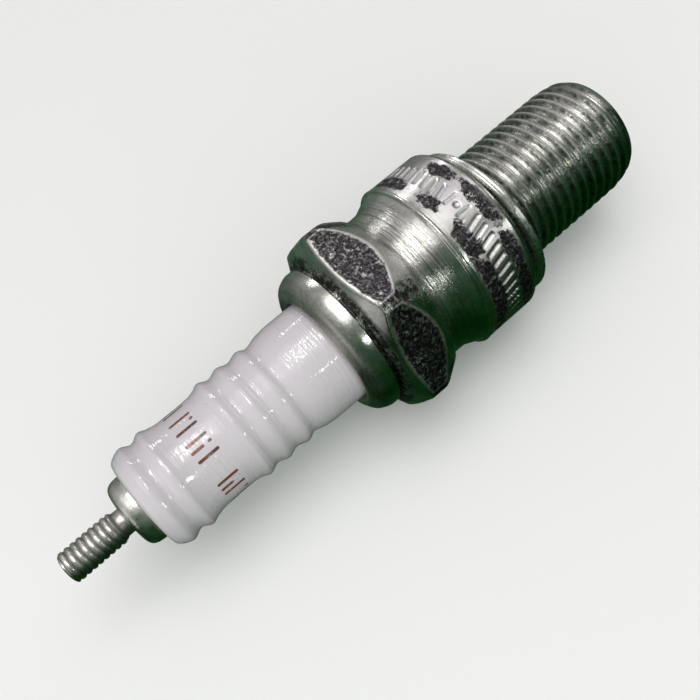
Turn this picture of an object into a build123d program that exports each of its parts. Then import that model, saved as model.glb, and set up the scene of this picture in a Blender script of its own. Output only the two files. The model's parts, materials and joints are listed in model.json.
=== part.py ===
from build123d import *
import os
from math import cos, radians, sin, tan

# A 14 mm spark plug with 19 mm reach, lying along X. +X points to the firing end, and two flats of the
# hexagon face up (+Z) and down (-Z). Lengths are in millimetres. Outlines are (X, radius) points turned
# about the X axis, with X measured from the flange's seating face. The saved parts are moved along X, so
# that their origin is the centre of the gasket's outer face.

os.makedirs("parts", exist_ok=True)

# ---- screw thread of the shell: M14 x 1.25 ----
REACH = 19.0
THREAD_R = 6.95
THREAD_PITCH = 1.25
THREAD_TURNS = 13
FIRST_CREST_X = 2.9
LEAD_FROM_X = 16.1
LEAD_SLOPE = 0.17
RELIEF_R = 6.15
THREAD_END_CHAMFER = 0.8
CHAMFER_FROM_R = 6.6
THREAD_END_R = 6.1

# ---- outside of the shell ----
FLANGE_R = 10.2
FLANGE_LENGTH = 7.0
SEAT_EDGE = 0.6
RIDGE_HEIGHT = 0.05
RIDGE_WIDTH = 0.2
RIDGE_FLANK = 0.05
NECK_R = 9.0
NECK_FROM_X = -11.3
NECK_TO_X = -9.0
NECK_CONE_END = (-7.2, 9.85)
HEX_ACROSS_FLATS = 20.8
HEX_CORNER_R = 11.74
HEX_FROM_X = -18.2
HEX_TO_X = -12.0
HEX_REAR_R = 8.9
HEX_REAR_CONE_END_X = -16.75
HEX_FRONT_CONE_FROM_X = -14.85
HEX_FRONT_R = 9.9
RIM_R = 8.72
RIM_OUTLINE = [
    (-20.45, 6.12),
    (-21.4, 6.75),
    (-21.4, 7.3),
    (-20.75, 8.2),
    (-19.6, RIM_R),
    (HEX_FROM_X - 0.25, RIM_R),
    (HEX_FROM_X, RIM_R - 0.3),
]

# ---- knurled band of the flange ----
TICK_COUNT = 56
TICK_LENGTH = 2.1
TICK_WIDTH = 0.45
TICK_DEPTH = 0.15
TICK_X = -3.65
TICK_SLANT = 15.0

# ---- inside of the shell ----
CHAMBER_R = 4.75
CHAMBER_DEPTH = 10.0
CHAMBER_EDGE = 0.1
CHAMBER_STEP = 0.6
LEDGE_R = 4.1
BARREL_BORE_R = 5.3
BODY_BORE_R = 7.65
SEAT_CONE_SUM = 10.3
BODY_BORE_FROM_X = -7.6
BARREL_BORE_FROM_X = -5.2
RIM_CORNER = 0.2

# ---- insulator ----
PORCELAIN_END_X = -45.05
PORCELAIN_END_R = 4.1
SHOULDER_R = 6.05
BODY_R = 7.4
BODY_TOP_X = -15.0
BARREL_R = 5.2
BODY_CLEARANCE = 0.1
NOSE_TIP_X = 18.4
NOSE_TIP_R = 2.45
NOSE_TIP_EDGE = 0.4
NOSE_ROOT_R = 3.6
NOSE_FILLET = 0.2
TERMINAL_BORE_R = 2.2
ELECTRODE_BORE_R = 1.3
BORE_STEP_X = 2.0
WASHER_AXIAL = 0.7
WASHER_INNER_R = 4.25
WASHER_OUTER_R = 5.15

# ---- packing between the shell and the insulator ----
RING_HEIGHT = 1.2
RING_INNER_R = 6.1
TALC_LENGTH = 2.3

# ---- terminal stud: M4 x 0.7 ----
STUD_TIP_X = -54.4
STUD_TIP_OUTLINE = [(STUD_TIP_X, 0), (STUD_TIP_X, 1.05), (STUD_TIP_X + 0.25, 1.45)]
STUD_R = 1.75
STUD_PITCH = 0.7
STUD_TURNS = 9
STUD_NECK_R = 1.45
STUD_FIRST_CREST_X = -53.72
COLLAR_FROM_X = -46.97
COLLAR_R = 3.86
COLLAR_OUTLINE = [
    (COLLAR_FROM_X, STUD_NECK_R),
    (COLLAR_FROM_X, COLLAR_R - 0.9),
    (COLLAR_FROM_X + 0.15, COLLAR_R - 0.5),
    (COLLAR_FROM_X + 0.5, COLLAR_R - 0.15),
    (COLLAR_FROM_X + 1.0, COLLAR_R),
]
SHANK_R = 1.5
GRIP_R = 1.4
GRIP_DEPTH = 0.25
GRIP_FROM_X = -15.0
GRIP_TO_X = -11.0
GRIP_GROOVES = 4

# ---- seals and resistor in the bore ----
RESISTOR_FROM_X = -9.0
RESISTOR_TO_X = -3.2
HEAD_TOP_X = 0.2
HEAD_R = 1.55

# ---- electrodes ----
ELECTRODE_R = 1.25
ELECTRODE_TIP_X = 20.2
ELECTRODE_EDGE = 0.1
COPPER_R = 0.75
COPPER_TIP_X = 17.4
COPPER_TIP_LENGTH = 0.6
SPARK_GAP = 0.75
STRAP_WIDTH = 2.7
STRAP_THICKNESS = 1.3
STRAP_EDGE_R = 0.25
STRAP_R = 5.47
STRAP_BEND_R = 1.45
STRAP_ANGLE = -30.0
STRAP_OVERHANG = 0.9

# ---- captive gasket ----
GASKET_FROM_X = 0.3
GASKET_THICKNESS = 1.3
GASKET_R = 9.35
GASKET_HOLE_R = 6.75
GASKET_SLOT = 0.4
GASKET_SLOT_R = 8.6

HEX_APOTHEM = HEX_ACROSS_FLATS / 2
FLANK_HALF_ANGLE = 30.0
CREST_SHARE = 1 / 8
ROOT_SHARE = 1 / 4
BLANK_R = 40.0
ORIGIN_X = GASKET_FROM_X + GASKET_THICKNESS


def save(builder, name):
    """Move a finished part to the saved origin, label it and write its file."""
    part = builder.part.moved(Location((-ORIGIN_X, 0, 0)))
    part.label = name
    export_step(part, f"parts/{name}.step")


def flank_run(rise):
    """Axial length of a thread flank that rises by this much."""
    return rise * tan(radians(FLANK_HALF_ANGLE))


def thread_grooves(first_x, pitch, crest_radii):
    """Points along a run of V-shaped thread grooves, with one crest for each of the crest radii."""
    depth = pitch * (1 - CREST_SHARE - ROOT_SHARE) / 2 / tan(radians(FLANK_HALF_ANGLE))
    root_r = max(crest_radii) - depth
    half_crest = pitch * CREST_SHARE / 2
    half_root = pitch * ROOT_SHARE / 2
    points = []
    for turn, crest_r in enumerate(crest_radii):
        crest_x = first_x + turn * pitch
        if turn > 0:
            points.append((crest_x - pitch / 2 - half_root, root_r))
            points.append((crest_x - pitch / 2 + half_root, root_r))
        points.append((crest_x - half_crest, crest_r))
        points.append((crest_x + half_crest, crest_r))
    return points


def shell_outline():
    """Outside of the shell from the rim's lip to the firing end, then back along its bore."""
    crest_radii = []
    for turn in range(THREAD_TURNS):
        lead = max(0.0, FIRST_CREST_X + turn * THREAD_PITCH - LEAD_FROM_X)
        crest_radii.append(THREAD_R - LEAD_SLOPE * lead)
    thread = thread_grooves(FIRST_CREST_X, THREAD_PITCH, crest_radii)
    half_crest = THREAD_PITCH * CREST_SHARE / 2
    first_flank_x = FIRST_CREST_X - half_crest - flank_run(THREAD_R - RELIEF_R)
    ridge_r = FLANGE_R + RIDGE_HEIGHT
    ridge_to_x = -FLANGE_LENGTH + RIDGE_WIDTH
    body = [
        (HEX_FROM_X, BLANK_R),
        (HEX_TO_X, BLANK_R),
        (HEX_TO_X, HEX_FRONT_R),
        (NECK_FROM_X, NECK_R),
        (NECK_TO_X, NECK_R),
        NECK_CONE_END,
        (-FLANGE_LENGTH, ridge_r),
        (ridge_to_x, ridge_r),
        (ridge_to_x + RIDGE_FLANK, FLANGE_R),
        (-SEAT_EDGE, FLANGE_R),
        (0, FLANGE_R - SEAT_EDGE),
        (0, RELIEF_R),
        (first_flank_x, RELIEF_R),
    ]
    end = [
        (REACH - THREAD_END_CHAMFER, CHAMFER_FROM_R),
        (REACH, THREAD_END_R),
    ]
    rim_inner_x = BODY_TOP_X - 2 * RING_HEIGHT - TALC_LENGTH
    bore = [
        (REACH, CHAMBER_R + CHAMBER_EDGE),
        (REACH - CHAMBER_EDGE, CHAMBER_R),
        (REACH - CHAMBER_DEPTH, CHAMBER_R),
        (REACH - CHAMBER_DEPTH - CHAMBER_STEP, LEDGE_R),
        (SEAT_CONE_SUM - LEDGE_R, LEDGE_R),
        (SEAT_CONE_SUM - BARREL_BORE_R, BARREL_BORE_R),
        (BARREL_BORE_FROM_X, BARREL_BORE_R),
        (BODY_BORE_FROM_X, BODY_BORE_R),
        (rim_inner_x + RIM_CORNER, BODY_BORE_R),
        (rim_inner_x, BODY_BORE_R - RIM_CORNER),
        (rim_inner_x, RIM_OUTLINE[0][1]),
    ]
    return RIM_OUTLINE + body + thread + end + bore


with BuildPart() as shell:
    with BuildSketch(Plane.XY):
        with BuildLine():
            Polyline(*shell_outline(), close=True)
        make_face()
    revolve(axis=Axis.X)
    # the blank's oversize disc is cut to the hexagon, and cones turn the hexagon's corners
    with BuildSketch(Plane.YZ.offset(HEX_FROM_X)):
        Circle(BLANK_R + 1)
        RegularPolygon(radius=HEX_APOTHEM, side_count=6, major_radius=False, mode=Mode.SUBTRACT)
    extrude(amount=HEX_TO_X - HEX_FROM_X, mode=Mode.SUBTRACT)
    with BuildSketch(Plane.XY):
        with BuildLine():
            Polyline(
                (HEX_FROM_X, HEX_REAR_R),
                (HEX_REAR_CONE_END_X, HEX_CORNER_R),
                (HEX_FRONT_CONE_FROM_X, HEX_CORNER_R),
                (HEX_TO_X, HEX_FRONT_R),
                (HEX_TO_X, BLANK_R),
                (HEX_FROM_X, BLANK_R),
                close=True,
            )
        make_face()
    revolve(axis=Axis.X, mode=Mode.SUBTRACT)
    with Locations(Plane.YZ.offset(TICK_X)):
        with PolarLocations(FLANGE_R, TICK_COUNT):
            Box(2 * TICK_DEPTH, TICK_WIDTH, TICK_LENGTH, rotation=(TICK_SLANT, 0, 0), mode=Mode.SUBTRACT)
save(shell, "shell")


with BuildPart() as gasket:
    with BuildSketch(Plane.XY):
        with Locations((GASKET_FROM_X + GASKET_THICKNESS / 2, (GASKET_R + GASKET_HOLE_R) / 2)):
            RectangleRounded(GASKET_THICKNESS, GASKET_R - GASKET_HOLE_R, GASKET_THICKNESS / 4)
        with Locations((GASKET_FROM_X + GASKET_THICKNESS / 2, GASKET_SLOT_R)):
            Rectangle(GASKET_SLOT, 2 * (GASKET_SLOT_R - GASKET_HOLE_R), align=(Align.CENTER, Align.MAX),
                      mode=Mode.SUBTRACT)
    revolve(axis=Axis.X)
save(gasket, "gasket")


# the insulator's ribs and valleys, from the shell's end to the terminal's end
SHOULDER_END = (-24.6, SHOULDER_R)
RIB_POINTS = [
    (-25.8, 5.93),
    (-26.6, 5.73),
    (-27.45, 5.52),
    (-28.5, 5.9),
    (-29.85, 5.55),
    (-31.1, 5.89),
    (-32.35, 5.52),
    (-33.55, 5.93),
    (-35.1, 5.44),
    (-37.0, 5.39),
    (-39.2, 5.42),
    (-41.05, 5.9),
    (-42.2, 5.4),
    (-43.4, 5.86),
]
PORCELAIN_CORNER = (-44.46, 5.5)
PORCELAIN_ROUND = (-44.9, 5.05)
PORCELAIN_END = (PORCELAIN_END_X, PORCELAIN_END_R)
CORNER_DIRECTION = (-1, -0.7)

insulator_cone_sum = SEAT_CONE_SUM - WASHER_AXIAL
bore_cone_sum = BORE_STEP_X + TERMINAL_BORE_R

with BuildPart() as insulator:
    with BuildSketch(Plane.XY):
        with BuildLine():
            Polyline(
                (bore_cone_sum - ELECTRODE_BORE_R, ELECTRODE_BORE_R),
                (NOSE_TIP_X, ELECTRODE_BORE_R),
                (NOSE_TIP_X, NOSE_TIP_R - NOSE_TIP_EDGE),
                (NOSE_TIP_X - NOSE_TIP_EDGE, NOSE_TIP_R),
                (REACH - CHAMBER_DEPTH, NOSE_ROOT_R),
                (insulator_cone_sum - NOSE_ROOT_R - NOSE_FILLET, NOSE_ROOT_R + NOSE_FILLET),
                (insulator_cone_sum - BARREL_R, BARREL_R),
                (BARREL_BORE_FROM_X, BARREL_R),
                (BODY_BORE_FROM_X + BODY_CLEARANCE, BODY_R),
                (BODY_TOP_X, BODY_R),
                (BODY_TOP_X, SHOULDER_R),
                SHOULDER_END,
            )
            Spline(SHOULDER_END, *RIB_POINTS, PORCELAIN_CORNER, tangents=((-1, 0), CORNER_DIRECTION))
            ThreePointArc(PORCELAIN_CORNER, PORCELAIN_ROUND, PORCELAIN_END)
            Polyline(
                PORCELAIN_END,
                (PORCELAIN_END_X, TERMINAL_BORE_R),
                (BORE_STEP_X, TERMINAL_BORE_R),
                (bore_cone_sum - ELECTRODE_BORE_R, ELECTRODE_BORE_R),
            )
        make_face()
    revolve(axis=Axis.X)
save(insulator, "insulator")


with BuildPart() as inner_washer:
    with BuildSketch(Plane.XY):
        with BuildLine():
            Polyline(
                (SEAT_CONE_SUM - WASHER_INNER_R, WASHER_INNER_R),
                (SEAT_CONE_SUM - WASHER_OUTER_R, WASHER_OUTER_R),
                (insulator_cone_sum - WASHER_OUTER_R, WASHER_OUTER_R),
                (insulator_cone_sum - WASHER_INNER_R, WASHER_INNER_R),
                close=True,
            )
        make_face()
    revolve(axis=Axis.X)
save(inner_washer, "inner_washer")


lower_ring_x = BODY_TOP_X - RING_HEIGHT / 2
talc_x = BODY_TOP_X - RING_HEIGHT - TALC_LENGTH / 2
upper_ring_x = lower_ring_x - RING_HEIGHT - TALC_LENGTH
ring_width = BODY_BORE_R - RING_INNER_R


def packing_ring(ring_x):
    """A round-cornered ring between the insulator's shoulder and the shell's bore."""
    with BuildPart() as ring:
        with BuildSketch(Plane.XY):
            with Locations((ring_x, RING_INNER_R + ring_width / 2)):
                RectangleRounded(RING_HEIGHT, ring_width, RING_HEIGHT / 3)
        revolve(axis=Axis.X)
    return ring


save(packing_ring(lower_ring_x), "lower_packing_ring")
save(packing_ring(upper_ring_x), "upper_packing_ring")


with BuildPart() as talc_seal:
    with BuildSketch(Plane.XY):
        with Locations((talc_x, (SHOULDER_R + BODY_BORE_R) / 2)):
            Rectangle(TALC_LENGTH, BODY_BORE_R - SHOULDER_R)
    revolve(axis=Axis.X)
save(talc_seal, "talc_seal")


def stud_outline():
    """Half outline of the terminal stud from its threaded tip to the gripped end in the glass."""
    thread = thread_grooves(STUD_FIRST_CREST_X, STUD_PITCH, [STUD_R] * STUD_TURNS)
    last_crest_end_x = thread[-1][0]
    neck = [(last_crest_end_x + flank_run(STUD_R - STUD_NECK_R), STUD_NECK_R)]
    shank = [
        (PORCELAIN_END_X, COLLAR_R),
        (PORCELAIN_END_X, SHANK_R),
        (GRIP_FROM_X, SHANK_R),
    ]
    step = (GRIP_TO_X - GRIP_FROM_X) / (2 * GRIP_GROOVES)
    grip = []
    for groove in range(GRIP_GROOVES):
        groove_x = GRIP_FROM_X + 2 * groove * step
        grip.append((groove_x + step / 4, GRIP_R - GRIP_DEPTH))
        grip.append((groove_x + step, GRIP_R - GRIP_DEPTH))
        grip.append((groove_x + step * 5 / 4, GRIP_R))
        grip.append((groove_x + step * 2, GRIP_R))
    return STUD_TIP_OUTLINE + thread + neck + COLLAR_OUTLINE + shank + grip + [(GRIP_TO_X, 0)]


with BuildPart() as terminal_stud:
    with BuildSketch(Plane.XY):
        with BuildLine():
            Polyline(*stud_outline(), close=True)
        make_face()
    revolve(axis=Axis.X)
save(terminal_stud, "terminal_stud")


with BuildPart() as upper_glass_seal:
    with BuildSketch(Plane.YZ.offset(GRIP_FROM_X)):
        Circle(TERMINAL_BORE_R)
    extrude(amount=RESISTOR_FROM_X - GRIP_FROM_X)
    add(terminal_stud.part, mode=Mode.SUBTRACT)
save(upper_glass_seal, "upper_glass_seal")


with BuildPart() as resistor:
    with BuildSketch(Plane.YZ.offset(RESISTOR_FROM_X)):
        Circle(TERMINAL_BORE_R)
    extrude(amount=RESISTOR_TO_X - RESISTOR_FROM_X)
save(resistor, "resistor")


# the electrode's head rests on the cone where the bore narrows, and the glass fills the space around it
with BuildPart() as center_electrode:
    with BuildSketch(Plane.XY):
        with BuildLine():
            Polyline(
                (HEAD_TOP_X, COPPER_R),
                (HEAD_TOP_X, HEAD_R),
                (bore_cone_sum - HEAD_R, HEAD_R),
                (bore_cone_sum - ELECTRODE_R, ELECTRODE_R),
                (ELECTRODE_TIP_X - ELECTRODE_EDGE, ELECTRODE_R),
                (ELECTRODE_TIP_X, ELECTRODE_R - ELECTRODE_EDGE),
                (ELECTRODE_TIP_X, 0),
                (COPPER_TIP_X, 0),
                (COPPER_TIP_X - COPPER_TIP_LENGTH, COPPER_R),
                close=True,
            )
        make_face()
    revolve(axis=Axis.X)
save(center_electrode, "center_electrode")


with BuildPart() as copper_core:
    with BuildSketch(Plane.XY):
        with BuildLine():
            Polyline(
                (HEAD_TOP_X, 0),
                (HEAD_TOP_X, COPPER_R),
                (COPPER_TIP_X - COPPER_TIP_LENGTH, COPPER_R),
                (COPPER_TIP_X, 0),
                close=True,
            )
        make_face()
    revolve(axis=Axis.X)
save(copper_core, "copper_core")


with BuildPart() as lower_glass_seal:
    with BuildSketch(Plane.XY):
        with BuildLine():
            Polyline(
                (RESISTOR_TO_X, 0),
                (RESISTOR_TO_X, TERMINAL_BORE_R),
                (BORE_STEP_X, TERMINAL_BORE_R),
                (bore_cone_sum - HEAD_R, HEAD_R),
                (HEAD_TOP_X, HEAD_R),
                (HEAD_TOP_X, 0),
                close=True,
            )
        make_face()
    revolve(axis=Axis.X)
save(lower_glass_seal, "lower_glass_seal")


# the strap leaves the shell's end, bends once and crosses the centre electrode at the spark gap
strap_out = Vector(0, cos(radians(STRAP_ANGLE)), sin(radians(STRAP_ANGLE)))
strap_plane = Plane(origin=(0, 0, 0), x_dir=(1, 0, 0), z_dir=Vector(1, 0, 0).cross(strap_out))
strap_top_x = ELECTRODE_TIP_X + SPARK_GAP + STRAP_THICKNESS / 2
strap_corner_x = strap_top_x - STRAP_BEND_R

with BuildPart() as ground_electrode:
    with BuildLine(strap_plane) as strap_path:
        leg = Line((REACH, STRAP_R), (strap_corner_x, STRAP_R))
        bend = TangentArc(leg @ 1, (strap_top_x, STRAP_R - STRAP_BEND_R), tangent=leg % 1)
        Line(bend @ 1, (strap_top_x, -STRAP_OVERHANG))
    with BuildSketch(Plane(origin=strap_path.line @ 0, x_dir=strap_out, z_dir=(1, 0, 0))):
        RectangleRounded(STRAP_THICKNESS, STRAP_WIDTH, STRAP_EDGE_R)
    sweep(path=strap_path.line)
save(ground_electrode, "ground_electrode")
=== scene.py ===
import json
from math import cos, pi, radians, sin, tan

import bmesh
import bpy
import numpy as np
from mathutils import Matrix, Vector

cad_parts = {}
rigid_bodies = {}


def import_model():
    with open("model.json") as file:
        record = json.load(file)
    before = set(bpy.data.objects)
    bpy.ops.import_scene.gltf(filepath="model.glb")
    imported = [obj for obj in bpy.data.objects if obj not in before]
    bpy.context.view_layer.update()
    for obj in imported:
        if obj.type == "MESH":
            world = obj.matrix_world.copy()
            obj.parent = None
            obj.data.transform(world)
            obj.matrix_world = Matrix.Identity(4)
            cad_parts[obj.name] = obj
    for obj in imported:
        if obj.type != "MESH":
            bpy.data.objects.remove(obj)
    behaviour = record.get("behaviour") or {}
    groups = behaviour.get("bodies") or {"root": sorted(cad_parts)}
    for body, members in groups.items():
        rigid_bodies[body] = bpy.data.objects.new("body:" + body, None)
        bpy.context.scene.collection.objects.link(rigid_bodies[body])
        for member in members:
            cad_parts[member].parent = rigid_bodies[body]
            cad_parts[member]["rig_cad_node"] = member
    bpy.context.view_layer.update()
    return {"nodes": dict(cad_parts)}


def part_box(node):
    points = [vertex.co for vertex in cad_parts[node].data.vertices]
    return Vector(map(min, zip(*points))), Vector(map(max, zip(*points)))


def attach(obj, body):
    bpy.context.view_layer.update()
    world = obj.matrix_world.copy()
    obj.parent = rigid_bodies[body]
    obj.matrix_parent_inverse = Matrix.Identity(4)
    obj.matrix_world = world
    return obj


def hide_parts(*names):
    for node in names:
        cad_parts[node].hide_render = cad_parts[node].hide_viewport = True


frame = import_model()

# Sizes below are millimetres along the plug's axis (X), from the flange's seating face, and from the axis
# (radius). Meshes are written in metres in the CAD model's frame, whose origin is ORIGIN_X further on.
MM = 0.001
TURN = 2 * pi
ORIGIN_X = 1.6


def span_of(node):
    """First and last X of a CAD node and its largest radius, in millimetres."""
    low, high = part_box(node)
    return low.x / MM + ORIGIN_X, high.x / MM + ORIGIN_X, max(high.y, high.z, -low.y, -low.z) / MM


SHELL_FROM, SHELL_TO, _ = span_of("shell")
STUD_FROM, STUD_TO, COLLAR_R = span_of("terminal_stud")
PORCELAIN_FROM, NOSE_TIP, _ = span_of("insulator")
GASKET_FROM, GASKET_TO, GASKET_R = span_of("gasket")
FLOOR_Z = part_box("shell")[0].z

# ---------------------------------------------------------------- mesh helpers


def weld(name, patches, sharp=40):
    """One smooth-shaded object from patches of vertices (mm) and faces, joined where they meet."""
    verts, faces, start = [], [], 0
    for points, quads in patches:
        verts.append(points)
        faces += [tuple(start + i for i in quad) for quad in quads]
        start += len(points)
    mesh = bpy.data.meshes.new(name)
    mesh.from_pydata(((np.concatenate(verts) - (ORIGIN_X, 0, 0)) * MM).tolist(), [], faces)
    bm = bmesh.new()
    bm.from_mesh(mesh)
    bmesh.ops.remove_doubles(bm, verts=bm.verts, dist=0.0004 * MM)
    bmesh.ops.recalc_face_normals(bm, faces=bm.faces)
    bm.to_mesh(mesh)
    bm.free()
    mesh.polygons.foreach_set("use_smooth", [True] * len(mesh.polygons))
    mesh.set_sharp_from_angle(angle=radians(sharp))
    piece = bpy.data.objects.new(name, mesh)
    bpy.context.scene.collection.objects.link(piece)
    return piece


def columns(count):
    """Angles of evenly spaced columns round the axis, with the first one repeated at the end."""
    return np.linspace(0, TURN, count + 1)


def grid(x, r, theta):
    """A patch from rows of X and radius at each column's angle."""
    x, r, theta = np.broadcast_arrays(x, r, theta)
    points = np.stack([x, r * np.cos(theta), r * np.sin(theta)], axis=-1).reshape(-1, 3)
    rows, cols = x.shape
    quads = []
    for i in range(rows - 1):
        for j in range(cols - 1):
            a = i * cols + j
            quads.append((a, a + 1, a + cols + 1, a + cols))
    return points, quads


def lathe(path, theta):
    """A patch turned from a path of (X, radius) points."""
    path = np.array(path)
    return grid(path[:, :1], path[:, 1:], theta[None, :])


def zipper(x, r, theta_a, theta_b):
    """A thin fan of triangles that joins two rings at the same place with different columns."""
    rings = [
        np.stack([np.full_like(theta, x), r * np.cos(theta), r * np.sin(theta)], axis=-1)
        for theta in (theta_a, theta_b)
    ]
    faces, i, j, split = [], 0, 0, len(theta_a)
    past_end = 2 * TURN
    while i < len(theta_a) - 1 or j < len(theta_b) - 1:
        next_a = theta_a[i + 1] if i < len(theta_a) - 1 else past_end
        next_b = theta_b[j + 1] if j < len(theta_b) - 1 else past_end
        if next_a <= next_b:
            faces.append((i, i + 1, split + j))
            i += 1
        else:
            faces.append((i, split + j + 1, split + j))
            j += 1
    return np.concatenate(rings), faces


def rounded(corners, steps=4):
    """A path through (X, radius, rounding) corners, each rounded by up to its third number."""
    points = [np.array(c[:2], float) for c in corners]
    path = [points[0]]
    for k in range(1, len(corners) - 1):
        before, here, after = points[k - 1], points[k], points[k + 1]
        length_in = np.linalg.norm(here - before)
        length_out = np.linalg.norm(after - here)
        reach = min(corners[k][2], 0.49 * length_in, 0.49 * length_out)
        if reach <= 0:
            path.append(here)
            continue
        start = here + (before - here) / length_in * reach
        end = here + (after - here) / length_out * reach
        for s in np.linspace(0, 1, steps + 1):
            path.append((1 - s) ** 2 * start + 2 * s * (1 - s) * here + s * s * end)
    path.append(points[-1])
    return path


def smooth_path(knots, per_span=6):
    """A smooth path through (X, radius) knots that is flat at its crests and valleys."""
    x, r = np.array(knots).T
    rise = np.diff(r) / np.diff(x)
    slope = np.zeros(len(knots))
    same_way = rise[1:] * rise[:-1] > 0
    slope[1:-1][same_way] = 2 * (rise[1:] * rise[:-1])[same_way] / (rise[1:] + rise[:-1])[same_way]
    path = []
    for k in range(len(rise)):
        width = x[k + 1] - x[k]
        for t in np.linspace(0, 1, per_span, endpoint=False):
            blend = t * t * (3 - 2 * t)
            bend = (slope[k] * (1 - t) - slope[k + 1] * t) * t * (1 - t) * width
            path.append((x[k] + t * width, r[k] + (r[k + 1] - r[k]) * blend + bend))
    path.append(knots[-1])
    return path


def soft_min(values, soft):
    """The smallest of several height fields, with the edges between them rounded."""
    values = np.stack(np.broadcast_arrays(*values))
    low = values.min(axis=0)
    return low - soft * np.log(np.exp(-(values - low) / soft).sum(axis=0))


def smooth_step(low, high, value):
    """0 below low and 1 above high, with a smooth rise between them."""
    s = np.clip((value - low) / (high - low), 0, 1)
    return s * s * (3 - 2 * s)


def plateau(low, high, soft_low, soft_high, value):
    """1 between low and high, with a smooth rise over soft_low before and a smooth fall over soft_high."""
    return smooth_step(low - soft_low, low, value) * (1 - smooth_step(high, high + soft_high, value))


def off_side(theta, middle):
    """Signed angle from the middle angle, between minus half a turn and half a turn."""
    return (theta - middle + pi) % TURN - pi


def ripple(x, theta, seed, size):
    """Slow unevenness of a forged or fired surface, the same on every run."""
    rng = np.random.default_rng(seed)
    total = np.zeros(np.broadcast(x, theta).shape)
    for _ in range(10):
        along = rng.uniform(0.3, 2.2)
        around = rng.integers(1, 14)
        total = total + np.sin(along * x + around * theta + rng.uniform(0, TURN))
    return total * size / 10


def thread_height(s, pitch, depth, crest_r, soft):
    """Radius of a V thread with rounded crest and root; s is the distance along it in pitches."""
    from_crest = np.abs((s + 0.5) % 1.0 - 0.5) * pitch
    flank = crest_r - (from_crest - pitch / 16) / tan(radians(30))
    top = soft_min([flank, np.full_like(flank, crest_r)], soft)
    return -soft_min([-top, np.full_like(top, depth - crest_r)], soft)


def helical(x_from, x_to, crest_x, pitch, theta, radius_at, rows_per_turn):
    """A right-hand thread with a crest at crest_x where the angle is zero, cut square at both ends."""
    first = int(np.floor((x_from - crest_x) / pitch)) - 1
    last = int(np.ceil((x_to - crest_x) / pitch))
    rows = crest_x + np.arange(first * rows_per_turn, last * rows_per_turn + 1) / rows_per_turn * pitch
    x = np.clip(rows[:, None] + pitch * theta[None, :] / TURN, x_from, x_to)
    s = (x - crest_x) / pitch - theta[None, :] / TURN
    return grid(x, radius_at(s, x), theta[None, :])


def paint(piece, name, values):
    """A per-vertex number that the piece's material reads."""
    layer = piece.data.attributes.new(name, "FLOAT", "POINT")
    layer.data.foreach_set("value", np.asarray(values, np.float32))


def polar(piece):
    """X, radius and angle of every vertex, in millimetres and radians."""
    co = np.empty(len(piece.data.vertices) * 3)
    piece.data.vertices.foreach_get("co", co)
    co = co.reshape(-1, 3) / MM
    return co[:, 0] + ORIGIN_X, np.hypot(co[:, 1], co[:, 2]), np.arctan2(co[:, 2], co[:, 1])


def reshape(piece, x, r, theta):
    """Move every vertex to a new X, radius and angle, in millimetres and radians."""
    co = np.stack([x - ORIGIN_X, r * np.cos(theta), r * np.sin(theta)], axis=-1)
    piece.data.vertices.foreach_set("co", (co * MM).ravel())


# ---------------------------------------------------------------- shell

HEX_HALF = FLOOR_Z / -MM - 0.015
HEX_CORNER_R = 11.7
HEX_FROM, HEX_TO = -18.2, -12.0
# Each cone: X where it meets the middle of a flat, and how its radius changes per millimetre of X.
HEX_TOP_CONE = (-17.45, 1.93)
HEX_LOW_CONE = (-12.75, -0.632)
FLANGE_R, RIDGE_R = 10.17, 10.23
BAND_FROM, BAND_TO = -6.3, -0.85
TICKS = 56
TICK_MIDDLE, TICK_HALF = -3.65, 1.05
TICK_HALF_WIDTH = 0.29
TICK_DEPTH = 0.15
TICK_SLANT = 0.27
# The angle round the axis that faces the camera. The pad's ends are angles from it.
VIEWED_SIDE = radians(116.6)
PAD_FROM, PAD_TO = radians(-24), radians(-5)
MARK_DEPTH = 0.13
THREAD_R, THREAD_DEPTH, THREAD_PITCH = 6.95, 0.77, 1.25
THREAD_CREST_X = 3.095
LEAD_FROM, LEAD_SLOPE = 16.1, 0.17
RELIEF_R, RELIEF_TO = 6.15, 2.2


def hexagon(theta):
    """Radius of the hexagon, with flats up and down and corners on the sides."""
    off_flat = (theta % (pi / 3)) - pi / 6
    return HEX_HALF / np.cos(off_flat)


def hex_cones(x):
    """Radii of the two turned cones that cut the hexagon's corners."""
    top = HEX_HALF + (x - HEX_TOP_CONE[0]) * HEX_TOP_CONE[1]
    low = HEX_HALF + (x - HEX_LOW_CONE[0]) * HEX_LOW_CONE[1]
    return top, low


def hex_inset(x, theta):
    """How far inside the border of a hexagon's face a place is, and how near it is to a corner."""
    face = hexagon(theta)
    top, low = hex_cones(x)
    from_corner = (HEX_CORNER_R - face) * 4
    inset = soft_min([(top - face) / HEX_TOP_CONE[1], (low - face) / -HEX_LOW_CONE[1], from_corner], 0.12)
    return inset, 1 - smooth_step(0.3, 2.0, from_corner)


def hex_columns():
    """Columns that crowd together at the six corners."""
    u = np.linspace(-1, 1, 61)[:-1]
    sector = pi / 6 * (u + 0.7 * np.sin(pi * u) / pi) + pi / 6
    angles = np.concatenate([sector + k * pi / 3 for k in range(6)])
    return np.append(angles, TURN)


def hex_patch(theta):
    """The hexagon from end to end, with its cones and its rounded corners."""
    x = np.linspace(HEX_FROM, HEX_TO, 60)[:, None]
    top, low = hex_cones(x)
    r = soft_min([hexagon(theta)[None, :], top, low, np.full_like(x, HEX_CORNER_R)], 0.05)
    return x, r + ripple(x, theta[None, :], 11, 0.012), theta[None, :]


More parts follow.
